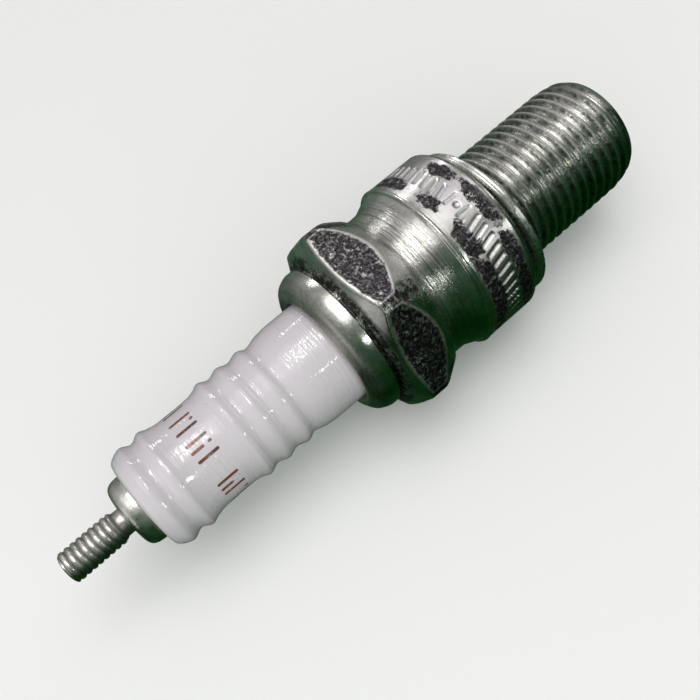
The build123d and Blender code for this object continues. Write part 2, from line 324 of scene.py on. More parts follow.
def tick_cut(x, theta):
    """Depth of the rolled ticks at a place on the flange, with a plain pad left among them."""
    side = off_side(theta, VIEWED_SIDE)
    step = TURN / TICKS
    across = ((theta + TICK_SLANT * (x - TICK_MIDDLE) / FLANGE_R) / step + 0.5) % 1.0 - 0.5
    across = np.abs(across * step * FLANGE_R)
    bar = 1 - smooth_step(TICK_HALF_WIDTH * 0.45, TICK_HALF_WIDTH, across)
    end = 1 - smooth_step(TICK_HALF - 0.25, TICK_HALF, np.abs(x - TICK_MIDDLE))
    pad = plateau(PAD_FROM + 0.02, PAD_TO - 0.02, 0.04, 0.04, side)
    return TICK_DEPTH * bar * end * (1 - pad)


def pad_mark(x, theta):
    """Depth of the plain stamped mark on the pad: a dimple between two straight grooves."""
    middle = VIEWED_SIDE + (PAD_FROM + PAD_TO) / 2
    s = off_side(theta, middle) * FLANGE_R
    v = x - TICK_MIDDLE
    dimple = np.hypot(s, v) - 0.36
    grooves = np.hypot(np.abs(s) - 0.95, np.maximum(np.abs(v) - 0.75, 0)) - 0.16
    return MARK_DEPTH * (1 - smooth_step(-0.12, 0.06, np.minimum(dimple, grooves)))


# Patches on the flange where the plating has gone: X, degrees from the viewed side, half length (mm)
# and half width (degrees).
BARE = [
    (-5.5, 6, 1.15, 13),
    (-1.5, -8, 1.0, 17),
    (-1.9, -38, 0.8, 10),
    (-5.4, -27, 0.7, 8),
    (-5.6, 43, 1.15, 32),
    (-1.8, 27, 0.85, 13),
    (-1.7, 53, 0.8, 18),
    (-5.5, -63, 1.0, 16),
]


def bare_patches(x, theta):
    """1 in the middle of a bare patch and 0 half a patch outside it; the unseen side gets random ones."""
    rng = np.random.default_rng(31)
    patches = list(BARE)
    for degrees in range(85, 280, 17):
        along = -5.5 if rng.random() < 0.5 else -1.7
        patches.append((along, degrees, rng.uniform(0.5, 1.0), rng.uniform(6, 14)))
    bare = np.zeros_like(x)
    for middle, degrees, half_x, half_degrees in patches:
        side = np.degrees(off_side(theta, VIEWED_SIDE + radians(degrees)))
        gap = np.hypot((x - middle) / half_x, side / half_degrees)
        bare = np.maximum(bare, 1.5 - gap)
    return np.clip(bare, 0, 1)


def flange_patch(theta):
    """The flange's band, with close rows where the ticks are."""
    ticks_from, ticks_to = TICK_MIDDLE - 1.25, TICK_MIDDLE + 1.25
    x = np.concatenate([
        np.linspace(BAND_FROM, ticks_from, 6)[:-1],
        np.linspace(ticks_from, ticks_to, 25)[:-1],
        np.linspace(ticks_to, BAND_TO, 6),
    ])[:, None]
    inner = plateau(BAND_FROM + 0.2, BAND_TO - 0.25, 0.2, 0.25, x)
    r = FLANGE_R - tick_cut(x, theta[None, :]) - pad_mark(x, theta[None, :])
    r = r + ripple(x, theta[None, :], 12, 0.012) * inner
    return x, r, theta[None, :]


def thread_radius(s, x):
    """The M14 thread, with its run-in from the relief groove and its tapered, chamfered lead."""
    r = thread_height(s, THREAD_PITCH, THREAD_DEPTH, THREAD_R, 0.035)
    run_in = RELIEF_R + 0.02 + (x - RELIEF_TO) * 0.9
    lead = THREAD_R + 0.02 - (x - LEAD_FROM) * LEAD_SLOPE
    chamfer = 6.12 + (SHELL_TO - x) * 0.62
    return soft_min([r, run_in, lead, chamfer], 0.02)


def rim_path():
    """The crimped rim, from inside the top of the shell out and down to the hexagon."""
    return rounded([
        (-20.45, 6.12, 0),
        (SHELL_FROM + 0.06, 6.6, 0.35),
        (SHELL_FROM, 7.1, 0.5),
        (-20.75, 8.2, 0.55),
        (-19.6, 8.72, 0.3),
        (-18.62, 8.74, 0.12),
        (-18.45, 8.42, 0.1),
        (-18.3, 8.42, 0.08),
        (HEX_FROM, 8.8, 0.1),
        (HEX_FROM, HEX_HALF + (HEX_FROM - HEX_TOP_CONE[0]) * HEX_TOP_CONE[1], 0),
    ], 5)


def neck_path(top_r):
    """The necked waist and the ridge, from the hexagon to the flange's band."""
    return rounded([
        (HEX_TO, top_r, 0),
        (-11.8, top_r - 0.12, 0.2),
        (-11.2, 9.02, 0.5),
        (-10.1, 8.97, 0.3),
        (-9.1, 9.03, 0.35),
        (-7.2, 9.88, 0.2),
        (-7.08, 10.14, 0.08),
        (-6.98, RIDGE_R, 0.08),
        (-6.86, RIDGE_R, 0.08),
        (-6.72, FLANGE_R, 0.08),
        (BAND_FROM, FLANGE_R, 0),
    ], 4)


def seat_path():
    """The flange's lower edge, its seating face and the relief groove."""
    return rounded([
        (BAND_TO, FLANGE_R, 0),
        (-0.6, FLANGE_R, 0.2),
        (-0.1, 9.75, 0.2),
        (0.0, 9.45, 0.2),
        (0.0, RELIEF_R, 0.12),
        (RELIEF_TO, RELIEF_R, 0),
    ], 4)


def bore_path(end_r):
    """The face of the thread's end and the stepped bore, up to the crimped rim."""
    return rounded([
        (SHELL_TO, end_r, 0),
        (SHELL_TO, 4.9, 0.05),
        (SHELL_TO - 0.15, 4.75, 0.05),
        (9.0, 4.75, 0.1),
        (8.4, 4.1, 0.1),
        (6.2, 4.1, 0.1),
        (5.0, 5.3, 0.1),
        (-5.2, 5.3, 0.1),
        (-7.6, 7.65, 0.1),
        (-19.5, 7.65, 0.1),
        (-19.7, 7.45, 0.05),
        (-19.7, 6.12, 0.05),
        (-20.45, 6.12, 0),
    ], 2)


def paint_shell(shell):
    """The numbers that tell the shell's finish where it is: faces, band, ticks, neck, lip and thread."""
    x, r, theta = polar(shell)
    on_hexagon = (x > HEX_FROM) & (x < HEX_TO) & (r > 8.7)
    inset, near_corner = hex_inset(x, theta)
    paint(shell, "inset", np.where(on_hexagon, inset, -1))
    below_rim = plateau(-18.4, -17.9, 0.3, 0.3, x) * (r > 8.2)
    wedge = on_hexagon * plateau(-16.6, -12.4, 0.25, 0.4, x) * near_corner
    paint(shell, "forged", np.maximum(below_rim, wedge))
    band = (r > 9.7) * plateau(BAND_FROM + 0.1, BAND_TO - 0.15, 0.4, 0.5, x)
    paint(shell, "band", band)
    paint(shell, "tick", band * (tick_cut(x, theta) / TICK_DEPTH + pad_mark(x, theta) / MARK_DEPTH))
    paint(shell, "bare", band * bare_patches(x, theta))
    top_of_rim = 1 - smooth_step(-20.1, -19.7, x)
    inside_of_rim = 1 - smooth_step(8.0, 8.5, r)
    paint(shell, "lip", (x < HEX_FROM) * (r > 6) * np.maximum(top_of_rim, inside_of_rim))
    paint(shell, "neck", (r > 8.7) * (r < 9.6) * plateau(-11.3, -8.6, 0.6, 0.5, x))
    in_thread = (x > RELIEF_TO) & (r > 5.5)
    paint(shell, "groove", in_thread * np.clip((THREAD_R - r) / THREAD_DEPTH, 0, 1))
    paint(shell, "thread", in_thread * 1.0)
    # Painted shade: the thread's flank that faces the flange is darkened towards its crest.
    s = ((x - THREAD_CREST_X) / THREAD_PITCH - theta / TURN) % 1.0
    paint(shell, "flank_shade", in_thread * plateau(0.72, 0.86, 0.14, 0.07, s))


def make_shell():
    """The steel shell: rim, hexagon, neck, flange, seat, thread and bore, welded ring to ring."""
    turned, hexed = columns(192), hex_columns()
    knurled, threaded = columns(TICKS * 10), columns(168)
    x, r, theta = hex_patch(hexed)
    top_r, neck_r = float(r[0].min()), float(r[-1].mean())
    r[0, :] = top_r
    r[-1, :] = neck_r
    rim = rim_path()
    rim[-1] = np.array([HEX_FROM, top_r])
    start_r, end_r = (float(thread_radius(np.zeros(1), x_end)[0]) for x_end in (RELIEF_TO, SHELL_TO))
    seat = seat_path()
    seat[-1] = np.array([RELIEF_TO, start_r])
    shell = weld("plug_shell", [
        lathe(rim, turned),
        zipper(HEX_FROM, top_r, turned, hexed),
        grid(x, r, theta),
        zipper(HEX_TO, neck_r, hexed, turned),
        lathe(neck_path(neck_r), turned),
        zipper(BAND_FROM, FLANGE_R, turned, knurled),
        grid(*flange_patch(knurled)),
        zipper(BAND_TO, FLANGE_R, knurled, turned),
        lathe(seat, turned),
        zipper(RELIEF_TO, start_r, turned, threaded),
        helical(RELIEF_TO, SHELL_TO, THREAD_CREST_X, THREAD_PITCH, threaded, thread_radius, 10),
        zipper(SHELL_TO, end_r, threaded, turned),
        lathe(bore_path(end_r), turned),
    ])
    paint_shell(shell)
    return shell


# ---------------------------------------------------------------- insulator

# The glazed outline from the shell to the terminal: crests, valleys and the slopes between them.
RIBS = [
    (-24.5, 6.05), (-25.4, 5.98), (-26.2, 5.86), (-26.8, 5.66), (-27.45, 5.52),
    (-28.5, 5.9), (-29.85, 5.55),
    (-31.1, 5.89), (-32.35, 5.52),
    (-33.55, 5.93), (-34.4, 5.59), (-35.3, 5.41), (-37.0, 5.385), (-38.8, 5.39), (-40.2, 5.62),
    (-41.05, 5.9), (-42.2, 5.4),
    (-43.4, 5.86), (-44.1, 5.67), (-44.46, 5.5),
]


def make_insulator():
    """The insulator: nose and seats inside the shell, ribs outside, and the bore through it."""
    theta = columns(192)
    body = rounded([
        (2.9, 1.3, 0),
        (NOSE_TIP, 1.3, 0.1),
        (NOSE_TIP, 2.05, 0.1),
        (NOSE_TIP - 0.4, 2.45, 0.4),
        (9.0, 3.6, 0.3),
        (5.8, 3.8, 0.2),
        (4.4, 5.2, 0.2),
        (-5.2, 5.2, 0.2),
        (-7.5, 7.4, 0.3),
        (-15.0, 7.4, 0.15),
        (-15.0, 6.05, 0.1),
        (-20.0, 6.05, 0),
        (-22.5, 6.05, 0),
        RIBS[0] + (0,),
    ], 4)
    ribs = smooth_path(RIBS)
    corner = rounded([
        RIBS[-1] + (0,),
        (-44.98, 5.08, 0.5),
        (PORCELAIN_FROM, 4.1, 0.3),
        (PORCELAIN_FROM, 2.2, 0.1),
        (2.0, 2.2, 0.1),
        (2.9, 1.3, 0),
    ], 7)
    insulator = weld("insulator_porcelain", [lathe(p, theta) for p in (body, ribs, corner)])
    x, r, angle = polar(insulator)
    outside = (x < -21.5) & (r > 3)
    reshape(insulator, x, r + ripple(x, angle, 21, 0.018) * outside, angle)
    return insulator


# ---------------------------------------------------------------- terminal stud

STUD_R, STUD_PITCH, STUD_DEPTH = 1.74, 0.7, 0.17
STUD_CREST_X = -53.95
STUD_THREAD_TO = -47.95
STUD_NECK_R = 1.42
STUD_DOME = 0.5


def stud_radius(s, x):
    """A rolled thread with broad round crests, a domed tip and a run-out at the collar."""
    r = STUD_R - STUD_DEPTH * np.abs(np.sin(pi * s)) ** 4
    dome = 1.12 + 0.8 * np.sqrt(np.clip((x - STUD_FROM) / STUD_DOME, 0, None))
    run_out = STUD_NECK_R + (STUD_THREAD_TO - x) * 0.7
    return soft_min([r, dome, run_out], 0.02)


def make_stud():
    """The stud: threaded end, collar on the porcelain, and the knurled shank in the glass seal."""
    theta = columns(96)
    tip_x = STUD_FROM + 0.12
    tip_r = float(stud_radius(np.full(1, 0.5), np.full(1, tip_x))[0])
    neck_r = float(stud_radius(np.full(1, 0.5), np.full(1, STUD_THREAD_TO))[0])

    def closed_radius(s, x):
        return np.where(x <= tip_x, tip_r, np.where(x >= STUD_THREAD_TO, neck_r, stud_radius(s, x)))

    cap = rounded([(STUD_FROM, 0.0, 0), (STUD_FROM, tip_r - 0.35, 0.3), (tip_x, tip_r, 0)], 5)
    thread = helical(tip_x, STUD_THREAD_TO, STUD_CREST_X, STUD_PITCH, theta, closed_radius, 12)
    body = rounded([
        (STUD_THREAD_TO, neck_r, 0),
        (-47.1, STUD_NECK_R, 0.15),
        (-46.97, 1.7, 0.1),
        (-46.97, COLLAR_R - 0.95, 0.3),
        (-46.75, COLLAR_R - 0.4, 0.35),
        (-46.2, COLLAR_R - 0.08, 0.5),
        (-45.4, COLLAR_R, 0.1),
        (PORCELAIN_FROM, COLLAR_R - 0.04, 0.04),
        (PORCELAIN_FROM, 1.5, 0.1),
        (-15.0, 1.5, 0.05),
        *((-14.5 + 0.5 * k, 1.15 + 0.25 * (k % 2), 0.1) for k in range(7)),
        (STUD_TO, 1.3, 0.1),
        (STUD_TO, 0.0, 0),
    ], 5)
    stud = weld("terminal_bolt", [lathe(cap, theta), thread, lathe(body, theta)])
    x, r, _ = polar(stud)
    in_thread = (x < STUD_THREAD_TO) & (x > STUD_FROM + 0.3)
    paint(stud, "groove", in_thread * np.clip((STUD_R - r) / STUD_DEPTH, 0, 1))
    return stud


# ---------------------------------------------------------------- gasket and electrodes

GASKET_TILT = radians(2.4)
GASKET_SLACK, GASKET_DROP = 0.12, 0.12


def make_gasket():
    """Folded sheet ring: round outer edges, a slit where the sheet closes, and three staked tabs."""
    theta = columns(240)
    middle = (GASKET_FROM + GASKET_TO) / 2
    half = (GASKET_TO - GASKET_FROM) / 2
    corners = [
        (middle - 0.1, 8.75, 0.05),
        (middle - 0.12, 6.85, 0.05),
        (GASKET_FROM + 0.05, 6.85, 0.15),
        (GASKET_FROM, 7.2, 0.2),
        (GASKET_FROM + 0.02, 8.7, 0.3),
        (GASKET_FROM + 0.16, 9.14, 0.3),
        (middle - 0.25, GASKET_R, 0.2),
        (middle, GASKET_R - 0.08, 0.12),
        (middle + 0.25, GASKET_R, 0.2),
        (GASKET_TO - 0.16, 9.14, 0.3),
        (GASKET_TO - 0.02, 8.7, 0.3),
        (GASKET_TO, 7.2, 0.2),
        (GASKET_TO - 0.05, 6.85, 0.15),
        (middle + 0.12, 6.85, 0.05),
        (middle + 0.1, 8.75, 0.05),
    ]
    gasket = weld("crush_gasket", [lathe(rounded(corners + [corners[0]], 4), theta)])
    x, r, angle = polar(gasket)
    tabs = sum(np.exp(-(off_side(angle, k * TURN / 3 - 0.6) / 0.09) ** 2) for k in range(3))
    r = np.where(r < 7.3, np.maximum(r - 0.1 * tabs, 6.75), r)
    x = x + 0.015 * np.sin(2 * angle + 0.5) * (1 - abs(x - middle) / half)
    # It hangs loose: leaning on the flange on one side and a little low on the other.
    towards_low = angle - VIEWED_SIDE
    x = x + GASKET_SLACK + r * np.sin(towards_low) * sin(GASKET_TILT)
    reshape(gasket, x, r + GASKET_DROP * np.sin(towards_low), angle)
    return gasket


STRAP_OUT = Vector((0, cos(radians(-30)), sin(radians(-30))))
STRAP_SIDE = Vector((1, 0, 0)).cross(STRAP_OUT)
STRAP_R, STRAP_END_R = 5.47, -0.9
STRAP_BEND_R = 1.45
STRAP_HALF_THICK, STRAP_HALF_WIDE, STRAP_CORNER = 0.65, 1.35, 0.28


def strap_route():
    """The strap's middle line as (X, radius) points: straight out of the shell, one bend, across the tip."""
    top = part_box("ground_electrode")[1].x / MM + ORIGIN_X - STRAP_HALF_THICK
    route = [(SHELL_TO + lift, STRAP_R) for lift in (-0.02, 0.35, 0.85)]
    bend_x, bend_r = top - STRAP_BEND_R, STRAP_R - STRAP_BEND_R
    for k in range(1, 13):
        a = k / 12 * pi / 2
        route.append((bend_x + STRAP_BEND_R * sin(a), bend_r + STRAP_BEND_R * cos(a)))
    return np.array(route + [(top, r) for r in np.linspace(3.3, STRAP_END_R, 12)])


def strap_section():
    """The bar's rounded section as (thickness, width) points."""
    flat_t, flat_w = STRAP_HALF_THICK - STRAP_CORNER, STRAP_HALF_WIDE - STRAP_CORNER
    section, steps = [], 5
    for quarter, (side_t, side_w) in enumerate(((1, 1), (-1, 1), (-1, -1), (1, -1))):
        for k in range(steps + 1):
            a = (quarter + k / steps) * pi / 2
            thick = side_t * flat_t + STRAP_CORNER * cos(a)
            wide = side_w * flat_w + STRAP_CORNER * sin(a)
            section.append((thick, wide))
    return section


def make_strap():
    """The side electrode: a rounded bar that leaves the shell, bends once and ends over the tip."""
    route, section = strap_route(), strap_section()
    points = []
    for k, (x, r) in enumerate(route):
        tangent = route[min(k + 1, len(route) - 1)] - route[max(k - 1, 0)]
        tangent = tangent / np.linalg.norm(tangent)
        normal = Vector((-tangent[1], 0, 0)) + STRAP_OUT * tangent[0]
        weld_swell = 1 + 0.12 * max(0.0, 1 - k / 1.5)
        end_shrink = 0.93 if k == len(route) - 1 else 1.0
        middle = Vector((x, 0, 0)) + STRAP_OUT * r
        across = STRAP_SIDE * weld_swell
        for thick, wide in section:
            points.append(tuple(middle + (normal * thick + across * wide) * end_shrink))
    count = len(section)
    quads = []
    for i in range(len(route) - 1):
        for j in range(count):
            a, b = i * count + j, i * count + (j + 1) % count
            quads.append((a, b, b + count, a + count))
    quads.append(tuple(range(count)))
    quads.append(tuple(len(points) - count + j for j in range(count)))
    return weld("side_electrode", [(np.array(points), quads)], sharp=35)


def make_center_electrode():
    """The centre electrode's sheath, open inside for the copper core."""
    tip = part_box("center_electrode")[1].x / MM + ORIGIN_X
    path = rounded([
        (0.2, 0.75, 0),
        (0.2, 1.55, 0.1),
        (2.65, 1.55, 0.1),
        (2.95, 1.25, 0.1),
        (tip - 0.12, 1.25, 0.05),
        (tip, 1.1, 0.08),
        (tip, 0.0, 0),
    ], 5)
    core = rounded([(17.4, 0.0, 0), (16.8, 0.75, 0.1), (0.2, 0.75, 0)], 3)
    return weld("firing_electrode", [lathe(path, columns(72)), lathe(core, columns(72))])


# ---------------------------------------------------------------- material helpers


class Tree:
    """A node tree, with short calls for the nodes that the finishes and the studio use."""

    def __init__(self, tree):
        self.tree = tree

    def new(self, kind):
        return self.tree.nodes.new("ShaderNode" + kind)

    def put(self, socket, value):
        if hasattr(value, "is_output"):
            self.tree.links.new(value, socket)
        else:
            socket.default_value = value

    def vector(self, operation, a, b=(0, 0, 0)):
        node = self.new("VectorMath")
        node.operation = operation
        self.put(node.inputs[0], a)
        self.put(node.inputs[1], b)
        return node.outputs["Value" if operation == "DOT_PRODUCT" else "Vector"]

    def split(self, vector):
        node = self.new("SeparateXYZ")
        self.put(node.inputs[0], vector)
        return node.outputs

    def math(self, operation, a, b=0.0):
        node = self.new("Math")
        node.operation = operation
        self.put(node.inputs[0], a)
        self.put(node.inputs[1], b)
        return node.outputs[0]

    def add(self, *values):
        total = values[0]
        for value in values[1:]:
            total = self.math("ADD", total, value)
        return total

    def times(self, *values):
        total = values[0]
        for value in values[1:]:
            total = self.math("MULTIPLY", total, value)
        return total

    def between(self, value, low, high, to_low=0.0, to_high=1.0, kind="SMOOTHSTEP"):
        """value taken from low..high to to_low..to_high, smoothly unless kind is LINEAR."""
        node = self.new("MapRange")
        node.interpolation_type = kind
        self.put(node.inputs["Value"], value)
        for name, number in zip(("From Min", "From Max", "To Min", "To Max"), (low, high, to_low, to_high)):
            self.put(node.inputs[name], number)
        return node.outputs[0]


class Finish(Tree):
    """A procedural material in millimetres along and across the plug."""

    def __init__(self, name):
        self.material = bpy.data.materials.new(name)
        self.material.use_nodes = True
        super().__init__(self.material.node_tree)
        self.shader = self.tree.nodes["Principled BSDF"]
        self.mm = self.vector("MULTIPLY", self.new("TexCoord").outputs["Object"], (1 / MM, 1 / MM, 1 / MM))
        x, self.y, self.z = self.split(self.mm)
        self.x = self.math("ADD", x, ORIGIN_X)

    def set(self, **values):
        for name, value in values.items():
            self.put(self.shader.inputs[name.replace("_", " ")], value)

    def stretched(self, x, y, z):
        return self.vector("MULTIPLY", self.mm, (x, y, z))

    def noise(self, scale, detail=2.0, rough=0.5, vector=None):
        node = self.new("TexNoise")
        self.put(node.inputs["Vector"], self.mm if vector is None else vector)
        node.inputs["Scale"].default_value = scale
        node.inputs["Detail"].default_value = detail
        node.inputs["Roughness"].default_value = rough
        return node.outputs["Fac"]

    def spots(self, scale):
        node = self.new("TexVoronoi")
        self.put(node.inputs["Vector"], self.mm)
        node.inputs["Scale"].default_value = scale
        return node.outputs["Distance"]

    def painted(self, name):
        node = self.new("Attribute")
        node.attribute_name = name
        return node.outputs["Fac"]

    def mix(self, factor, a, b):
        node = self.new("Mix")
        node.data_type = "RGBA"
        self.put(node.inputs["Factor"], factor)
        for name, colour in (("A", a), ("B", b)):
            socket = [s for s in node.inputs if s.name == name and s.type == "RGBA"][0]
            self.put(socket, colour if hasattr(colour, "is_output") else (*colour, 1.0))
        return [s for s in node.outputs if s.type == "RGBA"][0]

    def bump(self, height, distance_mm, strength=1.0, normal=None):
        node = self.new("Bump")
        node.inputs["Strength"].default_value = strength
        node.inputs["Distance"].default_value = distance_mm * MM
        self.put(node.inputs["Height"], height)
        if normal is not None:
            self.put(node.inputs["Normal"], normal)
        return node.outputs["Normal"]


def wear(piece, material, slot):
    """Give a piece its one material; slot is not used."""
    piece.data.materials.clear()
    piece.data.materials.append(material)


# ---------------------------------------------------------------- materials


def raw_forging_and_dark_reflection(m, fine, grain, speck, face_edge):
    """Where the forging was left raw (faces, bare patches, below the rim), and its dark mottled colour; on
    the hexagon's faces the near-black is also a painted dark reflection.
    """
    # On the hexagon's faces the near-black mottling is raw forging and also a painted dark reflection.
    face = m.between(face_edge, 0.14, 0.34)
    worn = m.add(m.painted("bare"), m.times(m.math("SUBTRACT", m.noise(0.9, 5, 0.7), 0.5), 2.2))
    band = m.times(m.painted("band"), m.between(worn, 0.40, 0.58))
    forged = m.times(m.painted("forged"), m.between(m.noise(0.9, 4, 0.7), 0.38, 0.50))
    raw = m.math("MAXIMUM", m.math("MAXIMUM", face, band), forged)
    raw = m.times(raw, m.between(grain, 0.30, 0.40))
    raw = m.times(raw, m.math("SUBTRACT", 1.0, m.times(speck, 0.9)))
    raw = m.times(raw, m.math("SUBTRACT", 1.0, m.between(m.painted("tick"), 0.1, 0.6, 0.0, 0.9)))
    dark = m.mix(m.between(fine, 0.42, 0.66), (0.020, 0.018, 0.021), (0.13, 0.12, 0.13))
    return raw, dark


def zinc_plate(m, clouds, fine):
    """The colour of the plate, a little darker and cooler on the flange's smooth band."""
    bright = m.mix(m.between(clouds, 0.35, 0.65), (0.52, 0.53, 0.49), (0.74, 0.74, 0.70))
    bright = m.mix(m.between(fine, 0.5, 0.72, 0.0, 0.55), bright, (0.28, 0.28, 0.26))
    smooth_band = m.times(m.painted("band"), m.between(clouds, 0.4, 0.6, 0.4, 0.8))
    return m.mix(smooth_band, bright, (0.46, 0.435, 0.465))


def thread_shade_and_wear(m, colour, crest, fine):
    """Painted shade low on one flank of the thread, and crests painted bright as rubbed wear and as a
    painted highlight.
    """
    flank_shade = m.times(m.painted("flank_shade"), m.between(m.noise(1.5, 5, 0.7), 0.36, 0.62, 1.0, 0.35))
    colour = m.mix(m.times(flank_shade, 0.92), colour, (0.045, 0.05, 0.055))
    # The crests are painted near-white: partly rubbed wear, partly a painted highlight that shows even where
    # the thread is in shade.
    return m.mix(m.times(crest, m.between(fine, 0.38, 0.62, 0.95, 0.35)), colour, (0.93, 0.92, 0.88))


def plated_steel():
    """Bright zinc plate with dull clouds, and near-black mottling where the forging was left raw, which on
    the hexagon's faces is also a painted dark reflection.
    """
    m = Finish("plated_shell_steel")
    clouds = m.noise(0.35, 4, 0.6)
    fine = m.noise(3.2, 5, 0.65)
    grain = m.noise(3.6, 5, 0.68)
    clusters = m.between(m.noise(0.4, 3, 0.6), 0.40, 0.58, 0.2, 1.0)
    speck = m.times(m.between(m.noise(1.6, 5, 0.75), 0.55, 0.61), clusters)
    inset, lip = m.painted("inset"), m.painted("lip")
    face_edge = m.add(inset, m.times(m.math("SUBTRACT", m.noise(1.3, 5, 0.75), 0.5), 0.9))
    face_rim = m.times(m.between(inset, -0.16, 0.02), m.between(face_edge, 0.12, 0.42, 1.0, 0.0))
    raw, dark = raw_forging_and_dark_reflection(m, fine, grain, speck, face_edge)
    colour = m.mix(raw, zinc_plate(m, clouds, fine), dark)
    rubbed = m.times(face_rim, m.between(m.noise(2.2, 4, 0.75), 0.36, 0.6, 0.1, 0.85))
    colour = m.mix(rubbed, colour, (0.66, 0.64, 0.61))
    crest = m.times(m.painted("thread"), m.between(m.painted("groove"), 0.03, 0.20, 1.0, 0.0))
    colour = thread_shade_and_wear(m, colour, crest, fine)
    # Painted shade: the crimped lip is darkened to a dull olive grey so it shows less of the window.
    colour = m.mix(m.times(lip, m.between(fine, 0.35, 0.65, 0.75, 0.35)), colour, (0.24, 0.24, 0.20))
    lines = m.noise(1.0, 4, 0.75, m.stretched(5.5, 0.12, 0.12))
    turned = m.math("MAXIMUM", m.painted("neck"), 0.12)
    colour = m.mix(m.times(turned, m.between(lines, 0.46, 0.62, 0.0, 0.75)), colour, (0.13, 0.13, 0.12))
    rough = m.add(
        m.between(clouds, 0.3, 0.7, 0.13, 0.24),
        m.times(raw, 0.25),
        m.times(face_rim, 0.15),
        m.times(crest, 0.06),
        m.times(lip, 0.16),
        m.times(m.painted("band"), 0.15),
        m.times(m.between(fine, 0.5, 0.75), 0.14),
    )
    normal = m.bump(m.times(lines, turned), 0.09, 1.0)
    normal = m.bump(m.noise(1.8, 4, 0.6), 0.035, 0.4, normal)
    normal = m.bump(m.times(fine, m.math("MAXIMUM", m.painted("thread"), lip)), 0.03, 0.7, normal)
    normal = m.bump(m.times(m.add(grain, speck), raw), 0.06, 0.8, normal)
    m.set(Base_Color=colour, Metallic=1.0, Roughness=rough, Normal=normal)
    return m.material


PRINT_X = -37.2
PRINT_HALF = 1.08
PRINT_STROKE = 0.165
PRINT_R = 5.39
BAR, SHORT, DOT = (-1.0, 1.0), (-1.0, 0.1), (0.85, 0.95)
# Plain marks in place of the print: each one's angle round the axis in degrees, and its strokes, which
# have an offset round the axis (mm) and an extent along it as a share of PRINT_HALF.
PRINT_MARKS = [
    (-47.5, ((-0.5, *SHORT), (0.5, *BAR))),
    (-13.0, ((-0.75, *BAR), (0.0, *DOT), (0.75, *BAR))),
    (21.5, ((-0.95, *BAR), (-0.1, *DOT), (-0.1, *SHORT), (0.95, *BAR))),
    (72.5, ((-0.8, *BAR), (0.0, *SHORT), (0.8, *BAR))),
    (101.0, ((-0.6, *DOT), (0.4, *BAR))),
    (134.0, ((-0.55, *BAR), (0.55, *BAR))),
    (167.0, ((0.0, *BAR), (-0.6, *DOT))),
    (200.0, ((-0.5, *SHORT), (0.5, *BAR))),
    (235.0, ((-0.55, *BAR), (0.55, *DOT))),
    (270.0, ((-0.6, *BAR), (0.0, *SHORT), (0.6, *BAR))),
]


def print_mask(m):
    """Where the ink of the plain bars and dots lies round the insulator."""
    angle = m.math("ARCTAN2", m.times(m.y, -1.0), m.z)
    ink = 0.0
    for degrees, strokes in PRINT_MARKS:
        turned = m.math("SUBTRACT", angle, radians(degrees))
        turned = m.math("WRAP", turned, pi)
        turned.node.inputs[2].default_value = -pi
        across = m.times(turned, PRINT_R)
        for offset, low, high in strokes:
            side = m.math("SUBTRACT", across, offset)
            middle = PRINT_X + (low + high) / 2 * PRINT_HALF
            reach = (high - low) / 2 * PRINT_HALF
            from_middle = m.math("ABSOLUTE", m.math("SUBTRACT", m.x, middle))
            along = m.math("MAXIMUM", m.math("SUBTRACT", from_middle, reach))
            gap = m.math("SQRT", m.add(m.times(side, side), m.times(along, along)))
            ink = m.math("MAXIMUM", ink, m.between(gap, PRINT_STROKE - 0.03, PRINT_STROKE + 0.03, 1.0, 0.0))
    return ink


def porcelain():
    """White glaze with a faint lavender cast, fine waviness, tiny dark specks and a line of ink marks."""
    m = Finish("glazed_porcelain")
    clouds = m.noise(0.22, 3, 0.5)
    white = m.mix(clouds, (0.66, 0.615, 0.655), (0.72, 0.68, 0.715))
    specks = m.between(m.spots(0.9), 0.035, 0.06, 1.0, 0.0)
    specks = m.times(specks, m.between(m.noise(0.5, 2), 0.5, 0.56))
    white = m.mix(m.times(specks, 0.75), white, (0.12, 0.10, 0.10))
    ink = m.times(print_mask(m), m.between(m.noise(2.6, 4, 0.7), 0.34, 0.46, 0.5, 1.0))
    red = m.mix(m.between(m.noise(0.35, 2), 0.4, 0.6), (0.11, 0.045, 0.035), (0.24, 0.065, 0.045))
    colour = m.mix(ink, white, red)
    bare = m.between(m.x, -20.4, -20.0)
    colour = m.mix(bare, colour, m.mix(clouds, (0.70, 0.67, 0.60), (0.78, 0.76, 0.71)))
    gloss = m.between(m.noise(0.8, 3), 0.35, 0.65, 0.04, 0.10)
    rough = m.add(gloss, m.times(bare, 0.45), m.times(ink, 0.2))
    ridged = m.between(m.noise(0.35, 3, 0.6), 0.36, 0.56, 0.5, 1.0)
    ridges = m.times(m.noise(1.0, 2, 0.5, m.stretched(3.4, 0.2, 0.2)), ridged)
    normal = m.bump(ridges, 0.08, 1.0)
    normal = m.bump(m.times(m.noise(14, 2), bare), 0.02, 0.5, normal)
    m.set(Base_Color=colour, Roughness=rough, Normal=normal, Subsurface_Weight=0.06, IOR=1.6)
    m.shader.inputs["Subsurface Radius"].default_value = (1.0, 0.8, 0.75)
    m.shader.inputs["Subsurface Scale"].default_value = 0.5 * MM
    return m.material


